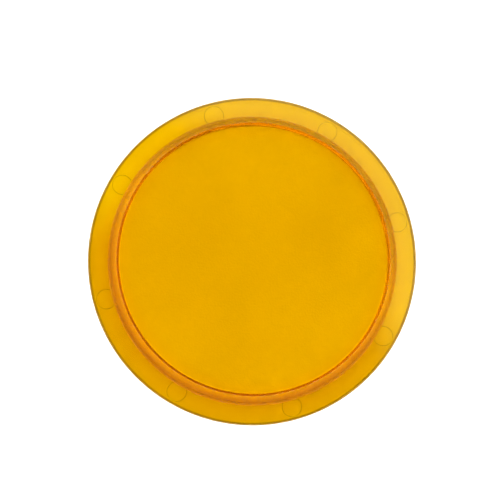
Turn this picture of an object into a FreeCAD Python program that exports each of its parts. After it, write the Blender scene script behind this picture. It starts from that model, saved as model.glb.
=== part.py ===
import FreeCAD, Part
import os

import Sketcher

# Round raised pavement marker with a clear amber lens cap, in millimetres, +Z up.
# The origin is the middle of the adhesive pad's underside, which is the face that meets the road.

doc = FreeCAD.newDocument("pavement_marker")

# ---------------------------------------------------------------- driving dimensions
DIMENSIONS = {
    # adhesive pad
    "pad_radius": 46.5,
    "pad_thickness": 2.5,
    "pad_round": 0.4,
    "pad_sink": 0.5,
    # base plate
    "plate_radius": 49.95,
    "plate_thickness": 3.0,
    "plate_chamfer": 0.5,
    "seat_gap": 0.2,
    "land_radius": 48.6,
    "land_width": 1.2,
    "land_height": 0.3,
    "key_radius": 9.0,
    "key_width": 1.2,
    "key_depth": 0.5,
    "key_pitch": 5.5,
    # lens cap
    "flange_radius": 50.0,
    "rim_thickness": 1.7,
    "flange_thickness": 2.0,
    "foot_radius": 43.9,
    "shoulder_radius": 41.0,
    "cap_rise": 9.4,
    "ceiling_thickness": 2.0,
    "bore_foot": 43.2,
    "bore_top": 40.35,
    "lead_in": 0.8,
    "foot_fillet": 0.07,
    "shoulder_round": 0.08,
    "ceiling_fillet": 0.15,
    "rim_round": 0.45,
    "mark_count": 8,
    "mark_circle": 45.85,
    "mark_radius": 3.0,
    "mark_depth": 0.12,
    "mark_start": 15.0,
    # backing disc under the cap's flat top
    "backing_radius": 40.0,
    "backing_thickness": 1.0,
    "backing_gap": 0.1,
    # core
    "core_foot_radius": 42.1,
    "core_foot_height": 1.6,
    "band_thickness": 0.4,
    "band_gap": 0.5,
    "core_roof": 2.0,
    "hub_radius": 9.0,
    "skirt_radius": 35.5,
    "rib_width": 2.4,
    "rib_count": 6,
    "boss_radius": 4.0,
    "fill_gap": 0.1,
    # sealant bead
    "bead_gap": 0.1,
    # countersunk self-tapping screws
    "screw_circle": 26.0,
    "screw_radius": 1.75,
    "screw_head_radius": 3.4,
    "screw_length": 6.5,
    "screw_tip": 1.2,
    "screw_gap": 0.05,
    "clearance_radius": 1.95,
    "recess_span": 3.6,
    "recess_width": 0.9,
    "recess_depth": 1.1,
}

sheet = doc.addObject("Spreadsheet::Sheet", "Dim")
for row, (alias, value) in enumerate(DIMENSIONS.items(), start=1):
    sheet.set(f"A{row}", alias)
    sheet.set(f"B{row}", str(value))
    sheet.setAlias(f"B{row}", alias)
doc.recompute()

# Heights that several pieces share, from the road upwards.
PLATE_RIM = "(Dim.pad_thickness - Dim.pad_sink)"
PLATE_TOP = f"({PLATE_RIM} + Dim.plate_thickness)"
CAP_BASE = f"({PLATE_TOP} + Dim.land_height)"
CAP_TOP = f"({CAP_BASE} + Dim.cap_rise)"
CEILING = f"({CAP_TOP} - Dim.ceiling_thickness)"
CORE_TOP = f"({CEILING} - Dim.backing_gap - Dim.backing_thickness)"
CORE_STEP = f"({PLATE_TOP} + Dim.core_foot_height)"
PILOT_RADIUS = "(Dim.screw_radius + Dim.screw_gap)"


def number(expression):
    """The present value of an expression in the sheet's dimensions."""
    return float(sheet.evalExpression(expression))


def bore_radius(height):
    """Expression for the radius of the cap's drafted bore at a height above the road."""
    fall = "(Dim.bore_foot - Dim.bore_top)"
    climb = "(Dim.cap_rise - Dim.ceiling_thickness)"
    return f"(Dim.bore_foot - {fall} * ({height} - {CAP_BASE}) / {climb})"


# ---------------------------------------------------------------- sketch helpers
def new_body(label):
    body = doc.addObject("PartDesign::Body", label)
    body.Label = label
    return body


def new_sketch(body, name, plane, lift=None):
    """A sketch on one of the body's own origin planes, raised along its normal by an expression."""
    sketch = body.newObject("Sketcher::SketchObject", name)
    support = next(f for f in body.Origin.OriginFeatures if f.Role == plane)
    sketch.AttachmentSupport = (support, [""])
    sketch.MapMode = "FlatFace"
    if lift:
        sketch.setExpression("AttachmentOffset.Base.z", lift)
    return sketch


def bind(sketch, kind, where, expression):
    """A dimension of the sketch that follows the sheet."""
    value = number(expression)
    if kind == "Angle":
        value = FreeCAD.Units.Quantity(value, "deg").getValueAs("rad").Value
    index = sketch.addConstraint(Sketcher.Constraint(kind, *where, value))
    sketch.renameConstraint(index, f"size_{index}")
    sketch.setExpression(f"Constraints.size_{index}", expression)


def place_point(sketch, edge, end, across, up):
    """Fixes one end of an edge by expressions; None leaves that coordinate on the axis."""
    if across is None:
        sketch.addConstraint(Sketcher.Constraint("PointOnObject", edge, end, -2))
    else:
        bind(sketch, "DistanceX", (-1, 1, edge, end), across)
    if up is None:
        sketch.addConstraint(Sketcher.Constraint("PointOnObject", edge, end, -1))
    else:
        bind(sketch, "DistanceY", (-1, 1, edge, end), up)


def draw_outline(sketch, corners):
    """A closed chain of straight edges through corners given as (across, up) expressions."""
    points = []
    for across, up in corners:
        x = number(across) if across else 0.0
        y = number(up) if up else 0.0
        points.append(FreeCAD.Vector(x, y, 0))
    first = sketch.GeometryCount
    count = len(points)
    for i in range(count):
        sketch.addGeometry(Part.LineSegment(points[i], points[(i + 1) % count]), False)
    for i in range(count):
        joined = Sketcher.Constraint("Coincident", first + i, 2, first + (i + 1) % count, 1)
        sketch.addConstraint(joined)
    for i, (across, up) in enumerate(corners):
        place_point(sketch, first + i, 1, across, up)


def draw_circle(sketch, radius, across=None, up=None):
    """A circle by expressions for its radius and centre."""
    x = number(across) if across else 0.0
    y = number(up) if up else 0.0
    circle = Part.Circle(FreeCAD.Vector(x, y, 0), FreeCAD.Vector(0, 0, 1), number(radius))
    edge = sketch.addGeometry(circle, False)
    bind(sketch, "Radius", (edge,), radius)
    place_point(sketch, edge, 3, across, up)


def spin(body, name, corners, kind="PartDesign::Revolution"):
    """Turns an outline of (radius, height) corners about the body's Z axis."""
    sketch = new_sketch(body, f"{name}_outline", "XZ_Plane")
    draw_outline(sketch, corners)
    return spin_sketch(body, name, sketch, kind)


def spin_sketch(body, name, sketch, kind):
    turned = body.newObject(kind, name)
    turned.Profile = sketch
    turned.ReferenceAxis = (sketch, ["V_Axis"])
    turned.Angle = 360.0
    doc.recompute()
    return turned


def extrude(body, name, sketch, length, kind="PartDesign::Pad", reverse=False):
    feature = body.newObject(kind, name)
    feature.Profile = sketch
    feature.Reversed = reverse
    feature.setExpression("Length", length)
    doc.recompute()
    return feature


def repeat_round(body, name, feature, count):
    """Copies a feature evenly round the body's Z axis."""
    pattern = body.newObject("PartDesign::PolarPattern", name)
    pattern.Originals = [feature]
    axis = next(f for f in body.Origin.OriginFeatures if f.Role == "Z_Axis")
    pattern.Axis = (axis, [""])
    pattern.Angle = 360.0
    pattern.setExpression("Occurrences", count)
    body.Tip = pattern
    doc.recompute()
    return pattern


def round_circles(body, name, circles, size, kind="PartDesign::Fillet"):
    """Rounds or chamfers the circular edges found at the given (radius, height) expressions."""
    base = body.Tip
    found = []
    for radius, height in circles:
        r, z = number(radius), number(height)
        for i, edge in enumerate(base.Shape.Edges, start=1):
            curve = edge.Curve
            if isinstance(curve, Part.Circle) and abs(curve.Radius - r) < 1e-4:
                if abs(curve.Center.z - z) < 1e-4 and abs(curve.Center.x) < 1e-4:
                    found.append(f"Edge{i}")
                    break
        else:
            raise RuntimeError(f"{name}: no edge of radius {r} at height {z}")
    feature = body.newObject(kind, name)
    feature.Base = (base, found)
    feature.setExpression("Radius" if kind.endswith("Fillet") else "Size", size)
    doc.recompute()
    return feature


def must_cut(before, body, name):
    """A cut that points away from the solid takes nothing off and says nothing."""
    if body.Shape.Volume > before - 1e-6:
        raise RuntimeError(f"{name} removed nothing")


# ---------------------------------------------------------------- lens cap
def make_lens_cap():
    """The amber moulding: a flat round top on a leaning wall, with a thin flange round its foot."""
    body = new_body("lens_cap")
    lead_top = f"({CAP_BASE} + Dim.lead_in)"
    corners = [
        ("Dim.bore_foot + Dim.lead_in", CAP_BASE),
        ("Dim.flange_radius", CAP_BASE),
        ("Dim.flange_radius", f"{CAP_BASE} + Dim.rim_thickness"),
        ("Dim.foot_radius", f"{CAP_BASE} + Dim.flange_thickness"),
        ("Dim.shoulder_radius", CAP_TOP),
        (None, CAP_TOP),
        (None, CEILING),
        ("Dim.bore_top", CEILING),
        (bore_radius(lead_top), lead_top),
    ]
    spin(body, "cap_shell", corners)
    foot = [("Dim.foot_radius", f"{CAP_BASE} + Dim.flange_thickness")]
    round_circles(body, "foot_fillet", foot, "Dim.foot_fillet")
    round_circles(body, "shoulder_round", [("Dim.shoulder_radius", CAP_TOP)], "Dim.shoulder_round")
    round_circles(body, "ceiling_fillet", [("Dim.bore_top", CEILING)], "Dim.ceiling_fillet")
    rim = [
        ("Dim.flange_radius", CAP_BASE),
        ("Dim.flange_radius", f"{CAP_BASE} + Dim.rim_thickness"),
    ]
    round_circles(body, "rim_round", rim, "Dim.rim_round")

    # Shallow round marks that the ejector pins leave in the flange's underside.
    before = body.Shape.Volume
    sketch = new_sketch(body, "pin_mark_outline", "XY_Plane", CAP_BASE)
    across = "Dim.mark_circle * cos(Dim.mark_start)"
    up = "Dim.mark_circle * sin(Dim.mark_start)"
    draw_circle(sketch, "Dim.mark_radius", across, up)
    mark = extrude(body, "pin_mark", sketch, "Dim.mark_depth", "PartDesign::Pocket", True)
    repeat_round(body, "pin_marks", mark, "Dim.mark_count")
    must_cut(before, body, "pin_marks")
    return body


# ---------------------------------------------------------------- backing disc
def make_backing_disc():
    """White closed-cell foam that fills the play under the cap's top and gives it its daylight colour."""
    body = new_body("backing_disc")
    sketch = new_sketch(body, "backing_outline", "XY_Plane", CORE_TOP)
    draw_circle(sketch, "Dim.backing_radius")
    extrude(body, "backing", sketch, "Dim.backing_thickness")
    return body


# ---------------------------------------------------------------- reflective band
def make_reflective_band():
    """Prismatic strip wrapped round the core, close behind the cap's wall."""
    body = new_body("reflective_band")
    outer_foot = f"({bore_radius(CORE_STEP)} - Dim.band_gap)"
    outer_top = f"({bore_radius(CORE_TOP)} - Dim.band_gap)"
    corners = [
        (f"{outer_foot} - Dim.band_thickness", CORE_STEP),
        (outer_foot, CORE_STEP),
        (outer_top, CORE_TOP),
        (f"{outer_top} - Dim.band_thickness", CORE_TOP),
    ]
    spin(body, "band", corners)
    return body


# ---------------------------------------------------------------- core
def draw_bay(sketch, clearance):
    """One bay between two ribs: two arcs about the axis and two sides parallel to the ribs."""
    half = f"(Dim.rib_width / 2 + {clearance})"
    inner = f"(Dim.hub_radius + {clearance})"
    outer = f"(Dim.skirt_radius - {clearance})"
    turn = "(360 / Dim.rib_count)"
    centre = FreeCAD.Vector(0, 0, 0)
    up = FreeCAD.Vector(0, 0, 1)
    step = FreeCAD.Units.Quantity(number(turn), "deg").getValueAs("rad").Value
    lean = [number(f"asin({half} / {r}) / 1 rad") for r in (inner, outer)]
    arcs = []
    for radius, offset in zip((inner, outer), lean):
        circle = Part.Circle(centre, up, number(radius))
        arcs.append(Part.ArcOfCircle(circle, offset, step - offset))
    first = sketch.addGeometry(arcs[0], False)
    second = sketch.addGeometry(arcs[1], False)
    low = sketch.addGeometry(Part.LineSegment(arcs[0].StartPoint, arcs[1].StartPoint), False)
    high = sketch.addGeometry(Part.LineSegment(arcs[0].EndPoint, arcs[1].EndPoint), False)
    for edge, arc, end, mine in (
        (low, first, 1, 1),
        (low, second, 1, 2),
        (high, first, 2, 1),
        (high, second, 2, 2),
    ):
        sketch.addConstraint(Sketcher.Constraint("Coincident", edge, mine, arc, end))
    for arc, radius in ((first, inner), (second, outer)):
        sketch.addConstraint(Sketcher.Constraint("Coincident", arc, 3, -1, 1))
        bind(sketch, "Radius", (arc,), radius)
    sketch.addConstraint(Sketcher.Constraint("Horizontal", low))
    bind(sketch, "DistanceY", (-1, 1, low, 1), half)
    bind(sketch, "Angle", (-1, 1, high, 1), turn)
    bind(sketch, "Distance", (-1, 1, high), half)


def make_core_body():
    """White moulded core that carries the wheel load: a drafted drum with a roof, hub, ribs and bosses."""
    body = new_body("core_body")
    seat_foot = f"({bore_radius(CORE_STEP)} - Dim.band_gap - Dim.band_thickness)"
    seat_top = f"({bore_radius(CORE_TOP)} - Dim.band_gap - Dim.band_thickness)"
    corners = [
        (None, PLATE_TOP),
        ("Dim.core_foot_radius", PLATE_TOP),
        ("Dim.core_foot_radius", CORE_STEP),
        (seat_foot, CORE_STEP),
        (seat_top, CORE_TOP),
        (None, CORE_TOP),
    ]
    spin(body, "drum", corners)

    before = body.Shape.Volume
    sketch = new_sketch(body, "bay_outline", "XY_Plane", PLATE_TOP)
    draw_bay(sketch, "0")
    depth = f"{CORE_TOP} - {PLATE_TOP} - Dim.core_roof"
    bay = extrude(body, "bay", sketch, depth, "PartDesign::Pocket", True)
    repeat_round(body, "bays", bay, "Dim.rib_count")
    must_cut(before, body, "bays")

    sketch = new_sketch(body, "boss_outline", "XY_Plane", PLATE_TOP)
    draw_circle(sketch, "Dim.boss_radius", "Dim.screw_circle")
    boss = extrude(body, "boss", sketch, depth)
    repeat_round(body, "bosses", boss, "Dim.rib_count")

    before = body.Shape.Volume
    sketch = new_sketch(body, "pilot_outline", "XY_Plane", PLATE_TOP)
    draw_circle(sketch, PILOT_RADIUS, "Dim.screw_circle")
    pilot = extrude(body, "pilot", sketch, depth, "PartDesign::Pocket", True)
    repeat_round(body, "pilots", pilot, "Dim.rib_count")
    must_cut(before, body, "pilots")
    return body


def make_core_fill():
    """Cast filler in the core's bays, so that the roof can't be crushed between the ribs."""
    body = new_body("core_fill")
    body.AllowCompound = True
    sketch = new_sketch(body, "fill_outline", "XY_Plane", PLATE_TOP)
    draw_bay(sketch, "Dim.fill_gap")
    depth = f"{CORE_TOP} - {PLATE_TOP} - Dim.core_roof - Dim.fill_gap"
    block = extrude(body, "fill", sketch, depth)

    before = body.Shape.Volume
    sketch = new_sketch(body, "fill_boss_outline", "XY_Plane", PLATE_TOP)
    notch = "Dim.boss_radius + Dim.fill_gap"
    turn = "(360 / Dim.rib_count)"
    draw_circle(sketch, notch, "Dim.screw_circle")
    draw_circle(sketch, notch, f"Dim.screw_circle * cos({turn})", f"Dim.screw_circle * sin({turn})")
    notches = extrude(body, "fill_notches", sketch, depth, "PartDesign::Pocket", True)
    must_cut(before, body, "fill_notches")

    pattern = repeat_round(body, "fills", block, "Dim.rib_count")
    pattern.Originals = [block, notches]
    doc.recompute()
    return body


# ---------------------------------------------------------------- sealant bead
def make_sealant_bead():
    """Cured sealant in the corner between plate, core foot and the cap's lead-in chamfer."""
    body = new_body("sealant_bead")
    inner = "(Dim.core_foot_radius + Dim.bead_gap / 2)"
    outer = "(Dim.bore_foot + Dim.lead_in - Dim.bead_gap)"
    top = f"({CAP_BASE} + Dim.lead_in - Dim.bead_gap / 2)"
    slope = f"(Dim.bore_foot + Dim.lead_in - {bore_radius(CAP_BASE + ' + Dim.lead_in')})"
    chamfer_at_top = f"({outer} - {slope} * ({top} - {CAP_BASE}) / Dim.lead_in)"
    corners = [
        (inner, PLATE_TOP),
        (outer, PLATE_TOP),
        (outer, f"{CAP_BASE} - Dim.bead_gap / 2"),
        (chamfer_at_top, top),
        (inner, top),
    ]
    spin(body, "bead", corners)
    return body


# ---------------------------------------------------------------- base plate
def make_base_plate():
    """White disc that closes the marker: a land under the cap's rim and a seat for the pad."""
    body = new_body("base_plate")
    seat = "(Dim.pad_radius + Dim.seat_gap)"
    corners = [
        (None, "Dim.pad_thickness"),
        (seat, "Dim.pad_thickness"),
        (seat, PLATE_RIM),
        ("Dim.plate_radius", PLATE_RIM),
        ("Dim.plate_radius", PLATE_TOP),
        ("Dim.land_radius + Dim.land_width", PLATE_TOP),
        ("Dim.land_radius + Dim.land_width", CAP_BASE),
        ("Dim.land_radius", CAP_BASE),
        ("Dim.land_radius", PLATE_TOP),
        (None, PLATE_TOP),
    ]
    spin(body, "disc", corners)
    rim = [("Dim.plate_radius", PLATE_RIM)]
    round_circles(body, "rim_chamfer", rim, "Dim.plate_chamfer", "PartDesign::Chamfer")

    # Rings cut in the seat, three inside and three outside the screws, for the pad to key into.
    before = body.Shape.Volume
    sketch = new_sketch(body, "key_outline", "XZ_Plane")
    for ring in (0, 1, 2, 4, 5, 6):
        start = f"(Dim.key_radius + {ring} * Dim.key_pitch)"
        floor = "Dim.pad_thickness"
        roof = "Dim.pad_thickness + Dim.key_depth"
        end = f"{start} + Dim.key_width"
        draw_outline(sketch, [(start, floor), (end, floor), (end, roof), (start, roof)])
    spin_sketch(body, "key_rings", sketch, "PartDesign::Groove")
    must_cut(before, body, "key_rings")

    before = body.Shape.Volume
    sketch = new_sketch(body, "countersink_outline", "XY_Plane", "Dim.pad_thickness")
    draw_circle(sketch, "Dim.clearance_radius", "Dim.screw_circle")
    hole = body.newObject("PartDesign::Hole", "countersunk_hole")
    hole.Profile = sketch
    doc.recompute()
    hole.Reversed = True
    hole.ThreadType = 0
    hole.DepthType = 1
    hole.DrillPoint = 0
    hole.setExpression("Diameter", "2 * Dim.clearance_radius")
    hole.HoleCutType = "Countersink"
    hole.setExpression("HoleCutDiameter", "2 * (Dim.screw_head_radius + Dim.screw_gap * 2)")
    hole.HoleCutCountersinkAngle = 90.0
    doc.recompute()
    repeat_round(body, "countersunk_holes", hole, "Dim.rib_count")
    must_cut(before, body, "countersunk_holes")
    return body


# ---------------------------------------------------------------- screws
def make_base_screws():
    """Six countersunk self-tapping screws, driven from below through the plate into the core."""
    body = new_body("base_screws")
    body.AllowCompound = True
    sketch = new_sketch(body, "screw_outline", "XZ_Plane")
    seat = "(Dim.pad_thickness + Dim.screw_gap)"
    head = "(Dim.screw_head_radius - Dim.screw_radius)"
    axis = "Dim.screw_circle"
    corners = [
        (axis, seat),
        (f"{axis} + Dim.screw_head_radius", seat),
        (f"{axis} + Dim.screw_radius", f"{seat} + {head}"),
        (f"{axis} + Dim.screw_radius", f"{seat} + Dim.screw_length - Dim.screw_tip"),
        (axis, f"{seat} + Dim.screw_length"),
    ]
    draw_outline(sketch, corners)
    screw = body.newObject("PartDesign::Revolution", "screw")
    screw.Profile = sketch
    screw.ReferenceAxis = (sketch, [f"Edge{len(corners)}"])
    screw.Angle = 360.0
    doc.recompute()

    before = body.Shape.Volume
    sketch = new_sketch(body, "recess_outline", "XY_Plane", seat)
    long_half, short_half = "Dim.recess_span / 2", "Dim.recess_width / 2"
    cross = [
        (long_half, short_half),
        (short_half, short_half),
        (short_half, long_half),
    ]
    quarter_turns = [(1, 1), (-1, 1), (-1, -1), (1, -1)]
    corners = []
    for side, up in quarter_turns:
        points = cross if side == up else cross[::-1]
        for x, y in points:
            corners.append((f"{axis} + {side} * {x}", f"{up} * {y}"))
    draw_outline(sketch, corners)
    recess = extrude(body, "recess", sketch, "Dim.recess_depth", "PartDesign::Pocket", True)
    must_cut(before, body, "recess")
    pattern = repeat_round(body, "screws", screw, "Dim.rib_count")
    pattern.Originals = [screw, recess]
    doc.recompute()
    return body


# ---------------------------------------------------------------- adhesive pad
def make_adhesive_pad():
    """Butyl pad that sticks the marker to the road."""
    body = new_body("adhesive_pad")
    sketch = new_sketch(body, "pad_outline", "XY_Plane")
    draw_circle(sketch, "Dim.pad_radius")
    extrude(body, "pad", sketch, "Dim.pad_thickness")
    round_circles(body, "pad_round", [("Dim.pad_radius", "0")], "Dim.pad_round")
    return body


NODES = [
    make_lens_cap(),
    make_backing_disc(),
    make_reflective_band(),
    make_core_body(),
    make_core_fill(),
    make_sealant_bead(),
    make_base_plate(),
    make_base_screws(),
    make_adhesive_pad(),
]

doc.recompute()
for thing in doc.Objects:
    if "Invalid" in thing.State or "Error" in thing.State:
        raise RuntimeError(f"{thing.Label} failed: {thing.State}")
for node in NODES:
    if node.Shape.isNull() or not node.Shape.isValid():
        raise RuntimeError(f"{node.Label} has no valid shape")

os.makedirs("parts", exist_ok=True)
for node in NODES:
    node.Shape.exportStep(f"parts/{node.Label}.step")
    box = node.Shape.BoundBox
    solids = len(node.Shape.Solids)
    print(f"{node.Label}: {solids} solid(s), {node.Shape.Volume:.1f} mm3, z {box.ZMin:.2f} to {box.ZMax:.2f}")
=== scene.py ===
# %% [markdown]
# # A round road marker with a clear amber cap
#
# The marker is a small stack: a clear amber moulding like a shallow pan turned upside down, a
# white core under it, a white base plate and a black sticky pad. Only the cap is seen from
# above, so this lesson is mostly about clear plastic: how thick it is, what lies behind it,
# and what it mirrors. The measured model is loaded first, and every size here hangs on it.

import math

import bmesh
import bpy
from mathutils import Matrix, Vector


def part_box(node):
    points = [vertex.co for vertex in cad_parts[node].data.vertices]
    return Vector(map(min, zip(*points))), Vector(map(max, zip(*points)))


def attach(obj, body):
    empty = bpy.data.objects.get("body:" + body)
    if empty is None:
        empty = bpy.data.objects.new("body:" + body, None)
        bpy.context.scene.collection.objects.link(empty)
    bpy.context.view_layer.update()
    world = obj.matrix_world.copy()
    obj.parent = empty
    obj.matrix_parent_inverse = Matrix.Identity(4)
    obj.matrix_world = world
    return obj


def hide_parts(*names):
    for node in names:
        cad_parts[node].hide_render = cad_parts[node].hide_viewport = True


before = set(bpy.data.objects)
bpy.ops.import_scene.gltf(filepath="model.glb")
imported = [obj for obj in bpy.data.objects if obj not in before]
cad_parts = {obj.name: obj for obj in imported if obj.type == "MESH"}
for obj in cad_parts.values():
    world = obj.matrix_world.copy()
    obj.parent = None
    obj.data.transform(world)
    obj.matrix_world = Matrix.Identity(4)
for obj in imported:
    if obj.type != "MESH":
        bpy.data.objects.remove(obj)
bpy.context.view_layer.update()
MM = 0.001

# %% [markdown]
# ## Reading heights from the stack
#
# A piece that is drawn again must sit exactly where the measured one does. The lowest and
# highest corner of a node give the heights that the cap shares with its neighbours, so the
# lesson never guesses where the flange rests. The cap is lifted by a hair, so that no clear face
# lies exactly on a white one.

# %% Heights that the cap shares with its neighbours
cap_low, cap_high = (Vector(corner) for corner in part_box("lens_cap"))
foam_low, foam_high = (Vector(corner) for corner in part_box("backing_disc"))
FLANGE_RADIUS = cap_high.x
LIFT = 0.03 * MM
FOAM_PLAY = 0.1 * MM
CAP_BASE = cap_low.z + LIFT
CAP_TOP = cap_high.z
CEILING = foam_high.z + FOAM_PLAY
print(f"cap from {CAP_BASE / MM:.2f} to {CAP_TOP / MM:.2f} mm, its ceiling at {CEILING / MM:.2f} mm")

# %% [markdown]
# ## The camera
#
# The marker is looked at from almost straight above, leaning about five degrees, from a bit
# under half a metre away. A long lens keeps the circle round. Seen from so close, a tall
# feature still looks larger than a low one, which is why the distance matters as much as the
# angle: it spreads the rings of the wall apart. A small lens shift centres the disc.

# %% Camera
CAMERA_DISTANCE = 0.458
CAMERA_LEAN = Vector((-0.047, -0.075, 0.996)).normalized()
LOOK_AT = Vector((0.0, 0.0, 0.008))
LENS = 108.8
LENS_SHIFT = (-0.006, 0.020)


def aim_axes(toward_camera):
    """Axes of a camera that looks back along a direction with +Y upwards in its view."""
    side = Vector((0.0, 1.0, 0.0)).cross(toward_camera).normalized()
    upward = toward_camera.cross(side)
    return Matrix((side, upward, toward_camera)).transposed()


camera_data = bpy.data.cameras.new("marker_camera")
camera_data.sensor_width = 36.0
camera_data.lens = LENS
camera_data.shift_x, camera_data.shift_y = LENS_SHIFT
camera = bpy.data.objects.new("marker_camera", camera_data)
bpy.context.collection.objects.link(camera)
camera.location = LOOK_AT + CAMERA_LEAN * CAMERA_DISTANCE
camera.rotation_euler = aim_axes(CAMERA_LEAN).to_euler()
bpy.context.scene.camera = camera
lean_angle = math.degrees(math.acos(CAMERA_LEAN.z))
print(f"camera {CAMERA_DISTANCE * 1000:.0f} mm away, leaning {lean_angle:.1f} degrees")

# %% [markdown]
# ## A tent of light with a dark opening
#
# Glossy plastic shows the room. A product table is often lit through a white tent with an
# opening overhead for the lens. The flat top of the cap mirrors that opening, so its amber
# stays deep and clean, and the flange mirrors the edge of the cloth on one side only. Lamps
# could stand round the marker instead, but each would put its own hot spot on the cap, and
# their light comes speckled through clear plastic. A world whose brightness depends on the
# angle from the opening is the simplest tent there is. The cloth is brightest in a ring just
# outside the opening, where no face mirrors it towards the camera. Further down it is dim: the
# wall mirrors the flange, which mirrors that part, and a bright cloth there would lay a grey
# veil over the wall's orange. Near the table it is only moderately bright, so that the top
# keeps its amber when it is looked at from the side.

# %% World: the tent
OPENING = Vector((-0.035, 0.0, 1.0)).normalized()
TENT_STRENGTH = 3.35
# degrees from the middle of the opening, and how bright the cloth is there
TENT_CLOTH = [
    (0, 0.0), (16.5, 0.0),
    (18, 0.2), (22, 0.2),
    (25, 1.8), (34, 1.8),
    (37, 0.2), (52, 0.2),
    (60, 0.7), (90, 0.7),
]


def grey(value):
    return (value, value, value, 1.0)


def fill_ramp(ramp, stops, full):
    """Puts (place, colour) stops on a colour ramp whose ends stand for 0 and full."""
    elements = ramp.color_ramp.elements
    elements[0].position = stops[0][0] / full
    elements[0].color = stops[0][1]
    elements[-1].position = stops[-1][0] / full
    elements[-1].color = stops[-1][1]
    for place, colour in stops[1:-1]:
        element = elements.new(place / full)
        element.color = colour


tent = bpy.data.worlds.new("light_tent")
bpy.context.scene.world = tent
tent.use_nodes = True
nodes, links = tent.node_tree.nodes, tent.node_tree.links
direction = nodes.new("ShaderNodeTexCoord")
cosine = nodes.new("ShaderNodeVectorMath")
cosine.operation = "DOT_PRODUCT"
cosine.inputs[1].default_value = OPENING
links.new(direction.outputs["Generated"], cosine.inputs[0])
angle = nodes.new("ShaderNodeMath")
angle.operation = "ARCCOSINE"
links.new(cosine.outputs["Value"], angle.inputs[0])
half_turn = nodes.new("ShaderNodeMapRange")
half_turn.inputs["From Max"].default_value = math.pi
links.new(angle.outputs[0], half_turn.inputs["Value"])
cloth = nodes.new("ShaderNodeValToRGB")
fill_ramp(cloth, [(place, grey(value)) for place, value in TENT_CLOTH], 180.0)
links.new(half_turn.outputs["Result"], cloth.inputs["Fac"])
links.new(cloth.outputs["Color"], nodes["Background"].inputs["Color"])
nodes["Background"].inputs["Strength"].default_value = TENT_STRENGTH
bpy.context.scene.view_settings.view_transform = "Standard"
print("tent strength", TENT_STRENGTH, "with", len(TENT_CLOTH), "stops of cloth")

# %% [markdown]
# ## A node helper
#
# Every finish below is a small recipe of nodes. Writing each node out would take six lines a
# time, so one helper adds a node, sets its plain inputs and links the rest.

# %% Helper for finishes


class Finish:
    """A new material with a Principled shader, to which named nodes are added."""

    def __init__(self, name):
        self.material = bpy.data.materials.new(name)
        self.material.use_nodes = True
        self.tree = self.material.node_tree
        self.shader = self.tree.nodes["Principled BSDF"]

    def set(self, **values):
        for name, value in values.items():
            self.shader.inputs[name.replace("_", " ")].default_value = value

    def node(self, kind, inputs=None, **settings):
        made = self.tree.nodes.new(kind)
        for name, value in settings.items():
            setattr(made, name, value)
        for name, value in (inputs or {}).items():
            if isinstance(value, bpy.types.NodeSocket):
                self.tree.links.new(value, made.inputs[name])
            else:
                made.inputs[name].default_value = value
        return made

    def feed(self, name, socket):
        self.tree.links.new(socket, self.shader.inputs[name])

    def place(self):
        """Where a point is on the marker, in metres, the same on every piece."""
        return self.node("ShaderNodeTexCoord").outputs["Object"]

    def noise(self, size, detail=3.0, roughness=0.5):
        """Soft random spots about size metres across."""
        made = self.node("ShaderNodeTexNoise", {"Vector": self.place(), "Scale": 1.0 / size})
        made.inputs["Detail"].default_value = detail
        made.inputs["Roughness"].default_value = roughness
        return made.outputs["Fac"]

    def blend(self, amount, low, high):
        """A colour between low and high."""
        made = self.node("ShaderNodeMix", data_type="RGBA")
        for index, value in ((0, amount), (6, low), (7, high)):
            if isinstance(value, bpy.types.NodeSocket):
                self.tree.links.new(value, made.inputs[index])
            else:
                made.inputs[index].default_value = value
        return made.outputs[2]

    def span(self, value, low, high, to_low=0.0, to_high=1.0):
        """Stretches a value from one range to another."""
        made = self.node("ShaderNodeMapRange", {"Value": value})
        made.inputs["From Min"].default_value = low
        made.inputs["From Max"].default_value = high
        made.inputs["To Min"].default_value = to_low
        made.inputs["To Max"].default_value = to_high
        return made.outputs["Result"]

    def bump(self, height, strength, depth):
        made = self.node("ShaderNodeBump", {"Height": height})
        made.inputs["Strength"].default_value = strength
        made.inputs["Distance"].default_value = depth
        self.feed("Normal", made.outputs["Normal"])


print("finish helper ready")

# %% [markdown]
# ## The table
#
# The marker lies on a white light table: a pale sheet that glows a little by itself, which
# washes out the marker's shadow. A touch of fibre in its colour keeps it from being a
# mathematical white.

# %% White paper
TABLE_HALF = 2.0
paper = Finish("white_paper")
paper_fibre = paper.span(paper.noise(0.004), 0.3, 0.7)
paper.feed("Base Color", paper.blend(paper_fibre, (0.94, 0.94, 0.94, 1), (0.96, 0.96, 0.96, 1)))
paper.set(Roughness=0.9, Emission_Color=(1.0, 1.0, 1.0, 1.0), Emission_Strength=0.25)
paper_mesh = bpy.data.meshes.new("white_table")
corners = [(-1, -1), (1, -1), (1, 1), (-1, 1)]
paper_mesh.from_pydata([(x * TABLE_HALF, y * TABLE_HALF, 0.0) for x, y in corners], [], [(0, 1, 2, 3)])
paper_mesh.materials.append(paper.material)
white_table = bpy.data.objects.new("white_table", paper_mesh)
bpy.context.collection.objects.link(white_table)
print("table laid")

# %% [markdown]
# ## The cap's outline
#
# The cap is a turned shape: one outline swept round the axis. The outline is a closed loop of
# a few corners, each given as radius, height and how much it is rounded, just as a mould
# drawing gives them. Straight from those corners the cap would look folded from card; the
# small roundings are what catch the light. The wall leans about twenty degrees so that the
# moulding leaves its tool, and it is thinner than the flat top.

# %% Outline of the cap from its corners
WALL_FOOT = 43.9 * MM
SHOULDER = 41.0 * MM
BORE_FOOT = 43.2 * MM
BORE_TOP = 40.35 * MM
LEAD_IN = 0.8 * MM
RIM_THICKNESS = 1.7 * MM
FOOT_THICKNESS = 2.0 * MM
ROUND_STEP = math.radians(5.0)


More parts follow.
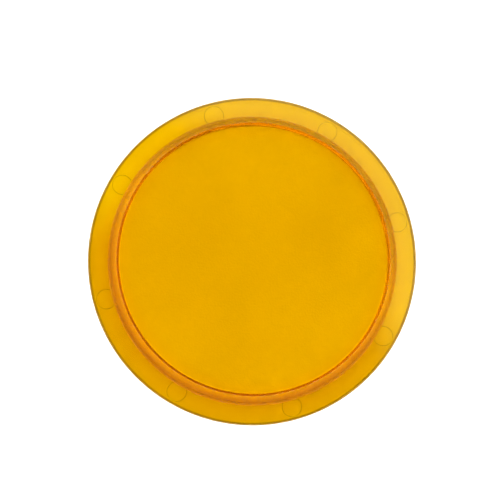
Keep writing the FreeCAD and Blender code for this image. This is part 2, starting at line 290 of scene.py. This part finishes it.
def bore_radius(height):
    """Radius of the leaning bore at a height."""
    share = (height - CAP_BASE) / (CEILING - CAP_BASE)
    return BORE_FOOT + (BORE_TOP - BORE_FOOT) * share


lead_top = CAP_BASE + LEAD_IN
CAP_CORNERS = [
    (0.0, CEILING, 0.0),
    (BORE_TOP, CEILING, 0.15 * MM),
    (bore_radius(lead_top), lead_top, 0.1 * MM),
    (BORE_FOOT + LEAD_IN, CAP_BASE, 0.1 * MM),
    (FLANGE_RADIUS, CAP_BASE, 0.45 * MM),
    (FLANGE_RADIUS, CAP_BASE + RIM_THICKNESS, 0.45 * MM),
    (WALL_FOOT, CAP_BASE + FOOT_THICKNESS, 0.07 * MM),
    (SHOULDER, CAP_TOP, 0.08 * MM),
    (0.0, CAP_TOP, 0.0),
]


def round_outline(corner_list):
    """Points along an outline whose corners are replaced by arcs."""
    points = []
    for i, (radius, height, rounding) in enumerate(corner_list):
        here = Vector((radius, height))
        if rounding == 0.0:
            points.append(here)
            continue
        before = Vector(corner_list[i - 1][:2]) - here
        after = Vector(corner_list[(i + 1) % len(corner_list)][:2]) - here
        before.normalize()
        after.normalize()
        half = before.angle(after) / 2
        centre = here + (before + after).normalized() * rounding / math.sin(half)
        start = here + before * rounding / math.tan(half) - centre
        turn = math.pi - 2 * half
        if start.x * after.y - start.y * after.x < 0:
            turn = -turn
        steps = max(2, math.ceil(abs(turn) / ROUND_STEP))
        for k in range(steps + 1):
            points.append(centre + Matrix.Rotation(turn * k / steps, 2) @ start)
    return points


cap_outline = round_outline(CAP_CORNERS)
print(f"{len(CAP_CORNERS)} corners became {len(cap_outline)} points")

# %% [markdown]
# ## Sweeping the outline
#
# The Screw modifier would do this too, but building the rings by hand gives an even mesh with
# a single point at each pole, and it stays closed, which clear plastic needs: the shader only
# knows how thick the plastic is if the mesh has an inside.

# %% Turn an outline about the axis
AROUND = 288


def turned_mesh(name, outline, closed=False):
    """A mesh of rings, one for each outline point; points on the axis become poles."""
    sheet = bmesh.new()
    rings = []
    for point in outline:
        if point[0] < 1e-9:
            rings.append([sheet.verts.new((0.0, 0.0, point[1]))])
            continue
        turn = 2 * math.pi / AROUND
        rings.append([
            sheet.verts.new((point[0] * math.cos(turn * k), point[0] * math.sin(turn * k), point[1]))
            for k in range(AROUND)
        ])
    pairs = list(zip(rings, rings[1:]))
    if closed:
        pairs.append((rings[-1], rings[0]))
    for low, high in pairs:
        for k in range(AROUND):
            after = (k + 1) % AROUND
            if len(low) == 1:
                sheet.faces.new((low[0], high[after], high[k]))
            elif len(high) == 1:
                sheet.faces.new((low[k], low[after], high[0]))
            else:
                sheet.faces.new((low[k], low[after], high[after], high[k]))
    bmesh.ops.recalc_face_normals(sheet, faces=sheet.faces)
    for face in sheet.faces:
        face.smooth = True
    mesh = bpy.data.meshes.new(name)
    sheet.to_mesh(mesh)
    sheet.free()
    return mesh


def add_piece(name, mesh):
    piece = bpy.data.objects.new(name, mesh)
    bpy.context.collection.objects.link(piece)
    return piece


amber_cap = add_piece("amber_cap", turned_mesh("amber_cap", cap_outline))
print("cap mesh has", len(amber_cap.data.polygons), "faces")

# %% [markdown]
# ## Pin marks
#
# When the mould opens, eight pins push the cap off, and each leaves a shallow round print in
# the underside of the flange, seen through the plastic as a thin circle. A painted circle
# would not bend the light, so the prints are cut for real: eight short plugs are taken away
# from the cap with a Boolean. It must stay closed, so the exact solver is used.

# %% Press eight pin marks into the flange
MARKS = 8
MARK_CIRCLE = 45.85 * MM
MARK_RADIUS = 3.0 * MM
MARK_DEPTH = 0.12 * MM
MARK_SLOPE = 0.08 * MM
FIRST_MARK = math.radians(15.0)
PLUG_SIDES = 72

plugs = bmesh.new()
for k in range(MARKS):
    turn = FIRST_MARK + 2 * math.pi * k / MARKS
    spot = Vector((MARK_CIRCLE * math.cos(turn), MARK_CIRCLE * math.sin(turn), CAP_BASE))
    bmesh.ops.create_cone(
        plugs, cap_ends=True, segments=PLUG_SIDES, radius1=MARK_RADIUS + MARK_SLOPE,
        radius2=MARK_RADIUS - MARK_SLOPE, depth=2 * MARK_DEPTH, matrix=Matrix.Translation(spot),
    )
plug_mesh = bpy.data.meshes.new("pin_plugs")
plugs.to_mesh(plug_mesh)
plugs.free()
pin_plugs = add_piece("pin_plugs", plug_mesh)

faces_before = len(amber_cap.data.polygons)
press = amber_cap.modifiers.new("press_pins", "BOOLEAN")
press.operation = "DIFFERENCE"
press.solver = "EXACT"
press.object = pin_plugs
pressed = bpy.data.meshes.new_from_object(amber_cap.evaluated_get(bpy.context.evaluated_depsgraph_get()))
amber_cap.modifiers.clear()
amber_cap.data = pressed
bpy.data.objects.remove(pin_plugs)
pressed.shade_smooth()
pressed.set_sharp_from_angle(angle=math.radians(25.0))
print("faces", faces_before, "->", len(pressed.polygons))

# %% [markdown]
# ## Clear amber plastic
#
# Real amber plastic is dyed all through, so it gets deeper where the eye looks through more of
# it. Two things make that here. The shader's base colour tints what passes each surface, and a
# volume absorption inside the mesh takes off more blue and green with every millimetre.
#
# One dye alone leaves the rings too even, so shade is painted into the base colour by the distance
# from the axis: the leaning wall is painted a shade more orange, a narrow ring above its foot is
# painted darkest as shade, and a thin line just inside the rim is painted dull as the rim's shade.
# One colour ramp does all of it. Two soft masks then paint light on one side of the flange, which
# makes it paler, and paint shade on the wall there, which makes it deeper, and a faint cloudiness
# goes over everything. These are painted light and shade: a real moulding has one colour, and
# its thickness and the light round it do the rest.

# %% Amber plastic
amber = Finish("clear_amber_plastic")
amber.set(Roughness=0.03, IOR=1.49, Transmission_Weight=1.0)
across = amber.node("ShaderNodeVectorMath", {0: amber.place(), 1: (1.0, 1.0, 0.0)}, operation="MULTIPLY")
distance = amber.node("ShaderNodeVectorMath", {0: across.outputs[0]}, operation="LENGTH")
RAMP_FROM, RAMP_TO = 36.0, 51.0
in_ramp = amber.span(distance.outputs["Value"], RAMP_FROM * MM, RAMP_TO * MM)
# radius in mm, and the colour there; the dark ring at the wall's foot and the dull line inside the rim are
# painted shade
AMBER_TINT_AND_PAINTED_SHADE = [
    (36.0, (0.998, 0.82, 0.05, 1)),
    (38.4, (0.998, 0.80, 0.05, 1)),
    (40.0, (0.998, 0.78, 0.05, 1)),
    (40.9, (0.998, 0.72, 0.03, 1)),
    (41.9, (0.95, 0.66, 0.03, 1)),
    (42.6, (0.64, 0.33, 0.0, 1)),
    (43.3, (0.64, 0.33, 0.0, 1)),
    (43.7, (0.95, 0.70, 0.03, 1)),
    (44.3, (0.87, 0.685, 0.05, 1)),
    (49.0, (0.87, 0.695, 0.05, 1)),
    (49.3, (0.62, 0.49, 0.10, 1)),
    (49.7, (0.62, 0.50, 0.14, 1)),
    (50.0, (0.84, 0.70, 0.22, 1)),
]
radial_tint_and_shade = amber.node("ShaderNodeValToRGB", {"Fac": in_ramp})
fill_ramp(radial_tint_and_shade, [(place - RAMP_FROM, colour) for place, colour in AMBER_TINT_AND_PAINTED_SHADE], RAMP_TO - RAMP_FROM)

# painted light: one side of the flange, toward the light, is painted paler by a second colour laid over it
LIT_SIDE_TURN = math.radians(68.0)
LIT_SIDE = Vector((math.cos(LIT_SIDE_TURN), math.sin(LIT_SIDE_TURN), 0.0))
PAINTED_LIGHT_TINT = (0.96, 0.83, 0.06, 1)
LIT_SIDE_FROM, LIT_SIDE_TO = -12.0 * MM, 2.0 * MM
FOOT_FROM, FOOT_TO = 43.7 * MM, 44.2 * MM
RIM_LINE_FROM, RIM_LINE_TO = 49.0 * MM, 49.3 * MM
toward_lit_side = amber.node("ShaderNodeVectorMath", {0: amber.place(), 1: LIT_SIDE}, operation="DOT_PRODUCT")
lit_side_mask = amber.span(toward_lit_side.outputs["Value"], LIT_SIDE_FROM, LIT_SIDE_TO)
past_foot = amber.span(distance.outputs["Value"], FOOT_FROM, FOOT_TO)
short_of_rim = amber.span(distance.outputs["Value"], RIM_LINE_FROM, RIM_LINE_TO, 1.0, 0.0)
on_flange = amber.node("ShaderNodeMath", {0: past_foot, 1: short_of_rim}, operation="MULTIPLY")
lit_side_paint = amber.node("ShaderNodeMath", {0: lit_side_mask, 1: on_flange.outputs[0]}, operation="MULTIPLY")
flange_with_painted_light = amber.blend(lit_side_paint.outputs[0], radial_tint_and_shade.outputs["Color"], PAINTED_LIGHT_TINT)

# painted shade: the wall on the lit side is painted a shade deeper
WALL_SHADE_TINT = (0.62, 0.50, 1.0, 1)
WALL_SHADE_FROM, WALL_SHADE_TO = 8.0 * MM, 30.0 * MM
WALL_IN_FROM, WALL_IN_TO = 39.9 * MM, 40.6 * MM
WALL_OUT_FROM, WALL_OUT_TO = 43.6 * MM, 44.0 * MM
facing_lit_side = amber.span(toward_lit_side.outputs["Value"], WALL_SHADE_FROM, WALL_SHADE_TO)
past_top = amber.span(distance.outputs["Value"], WALL_IN_FROM, WALL_IN_TO)
below_top = amber.span(distance.outputs["Value"], WALL_OUT_FROM, WALL_OUT_TO, 1.0, 0.0)
on_wall = amber.node("ShaderNodeMath", {0: past_top, 1: below_top}, operation="MULTIPLY")
wall_shade = amber.node("ShaderNodeMath", {0: on_wall.outputs[0], 1: facing_lit_side}, operation="MULTIPLY")
wall_with_painted_shade = amber.node(
    "ShaderNodeMix", {0: wall_shade.outputs[0], 6: flange_with_painted_light, 7: WALL_SHADE_TINT},
    data_type="RGBA", blend_type="MULTIPLY",
)
cloud = amber.span(amber.noise(0.030, detail=2.0), 0.35, 0.65)
cloudy = amber.node("ShaderNodeMix", {0: 1.0}, data_type="RGBA", blend_type="MULTIPLY")
amber.tree.links.new(wall_with_painted_shade.outputs[2], cloudy.inputs[6])
amber.tree.links.new(amber.blend(cloud, (0.995, 0.985, 0.97, 1), (1.0, 1.0, 1.0, 1)), cloudy.inputs[7])
amber.feed("Base Color", cloudy.outputs[2])
smear = amber.span(amber.noise(0.012, detail=4.0), 0.3, 0.75, 0.02, 0.06)
amber.feed("Roughness", smear)
dye = amber.node("ShaderNodeVolumeAbsorption", {"Color": (0.9966, 0.955, 0.0, 1), "Density": 1480.0})
amber.tree.links.new(dye.outputs["Volume"], amber.tree.nodes["Material Output"].inputs["Volume"])
amber_cap.data.materials.append(amber.material)
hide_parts("lens_cap")
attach(amber_cap, "root")
print("amber has", len(AMBER_TINT_AND_PAINTED_SHADE), "tints from axis to rim")

# %% [markdown]
# ## White foam behind the top
#
# A disc of closed-cell foam fills the play under the cap's ceiling. It is the pale ground that
# the amber top glows against. Foam is never one even white: it has fine cells and faint cloudy
# patches, made here from two sizes of noise.

# %% Foam disc
def give(node_name, finish):
    """Puts a finish on a measured node's own material slots."""
    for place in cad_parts[node_name].material_slots:
        place.material = finish.material
    print(node_name, "wears", finish.material.name)


foam = Finish("white_foam")
patches = foam.span(foam.noise(0.018, detail=2.0), 0.35, 0.7)
foam.feed("Base Color", foam.blend(patches, (0.72, 0.72, 0.71, 1), (0.76, 0.76, 0.75, 1)))
foam.set(Roughness=0.85)
cells = foam.node("ShaderNodeTexVoronoi", {"Vector": foam.place(), "Scale": 1800.0})
foam.bump(cells.outputs["Distance"], 0.25, 0.0002)
give("backing_disc", foam)

# %% [markdown]
# ## Prismatic strip
#
# The strip that throws headlamps back is a silver-white film with rows of very small prisms.
# Each prism is a third of a millimetre, too small to model, but their rows give the film its
# soft sparkle. Fine square cells of Voronoi noise make the pattern in the bump.

# %% Prismatic strip
film = Finish("prismatic_film")
grain = film.span(film.noise(0.006), 0.3, 0.7)
film.feed("Base Color", film.blend(grain, (0.92, 0.92, 0.93, 1), (0.96, 0.96, 0.97, 1)))
film.set(Roughness=0.32, Coat_Weight=0.3)
rows = film.node("ShaderNodeTexVoronoi", {"Vector": film.place(), "Scale": 3000.0}, distance="CHEBYCHEV")
film.bump(rows.outputs["Distance"], 0.3, 0.0001)
give("reflective_band", film)

# %% [markdown]
# ## White mouldings, filler and sealant
#
# The core and the base plate are white moulded plastic with a fine satin from the tool. The
# core's bays are cast full of a grey-beige filler with stone grains, and a bead of tan sealant
# runs round the core's foot. It is kept pale, because the wall pipes its light up to the
# shoulder: a dark bead would draw a hard line there.

# %% Core, filler, sealant
def satin_plastic(name, dark, light, tool_grain):
    """White moulded plastic: cloudy by a hair, with the fine grain of the mould."""
    made = Finish(name)
    clouds = made.span(made.noise(0.022, detail=2.0), 0.3, 0.7)
    made.feed("Base Color", made.blend(clouds, dark, light))
    made.feed("Roughness", made.span(made.noise(0.003), 0.3, 0.7, 0.42, 0.55))
    made.bump(made.noise(tool_grain, detail=1.0), 0.15, 0.00005)
    return made


core_plastic = satin_plastic("white_core_plastic", (0.88, 0.88, 0.86, 1), (0.93, 0.93, 0.91, 1), 0.0005)
give("core_body", core_plastic)

filler = Finish("cast_filler")
stones = filler.node("ShaderNodeTexVoronoi", {"Vector": filler.place(), "Scale": 900.0})
STONE_PALE, STONE_DARK = (0.66, 0.63, 0.57, 1), (0.52, 0.50, 0.46, 1)
filler.feed("Base Color", filler.blend(stones.outputs["Distance"], STONE_PALE, STONE_DARK))
filler.set(Roughness=0.8)
filler.bump(filler.noise(0.001), 0.4, 0.0002)
give("core_fill", filler)

sealant = Finish("tan_sealant")
waves = sealant.span(sealant.noise(0.005), 0.3, 0.7)
sealant.feed("Base Color", sealant.blend(waves, (0.78, 0.66, 0.46, 1), (0.84, 0.73, 0.54, 1)))
sealant.set(Roughness=0.45)
sealant.bump(waves, 0.3, 0.0003)
give("sealant_bead", sealant)

# %% [markdown]
# ## Base plate
#
# The plate closes the marker from below and shows as a white edge under the amber rim. It
# gets the same satin as the core, a little coarser, because that tool is rougher.

# %% Base plate
plate_plastic = satin_plastic("white_plate_plastic", (0.96, 0.96, 0.95, 1), (0.98, 0.98, 0.97, 1), 0.0008)
give("base_plate", plate_plastic)

# %% [markdown]
# ## Screws
#
# Six plain stainless screws hold plate and core together. They are hidden by the pad, but a
# finish that is only right from outside is a trap for whoever opens the model later.

# %% Stainless screws
steel = Finish("stainless_screw")
steel.set(Metallic=1.0)
brushed = steel.span(steel.noise(0.0008, detail=4.0), 0.3, 0.7)
steel.feed("Base Color", steel.blend(brushed, (0.58, 0.58, 0.59, 1), (0.68, 0.68, 0.68, 1)))
steel.feed("Roughness", steel.span(brushed, 0.0, 1.0, 0.25, 0.4))
give("base_screws", steel)

# %% [markdown]
# ## Butyl pad
#
# Butyl is a black sticky rubber with a matt skin, faintly wrinkled from its release liner.
# Black with a high roughness alone looks like a hole in the picture; the wrinkles and a few
# shinier patches make it a surface.

# %% Butyl pad
butyl = Finish("butyl")
skin = butyl.span(butyl.noise(0.009, detail=5.0, roughness=0.6), 0.3, 0.7)
butyl.feed("Base Color", butyl.blend(skin, (0.020, 0.020, 0.021, 1), (0.045, 0.044, 0.043, 1)))
butyl.feed("Roughness", butyl.span(skin, 0.0, 1.0, 0.55, 0.75))
butyl.bump(butyl.noise(0.0016, detail=4.0, roughness=0.6), 0.5, 0.0003)
give("adhesive_pad", butyl)
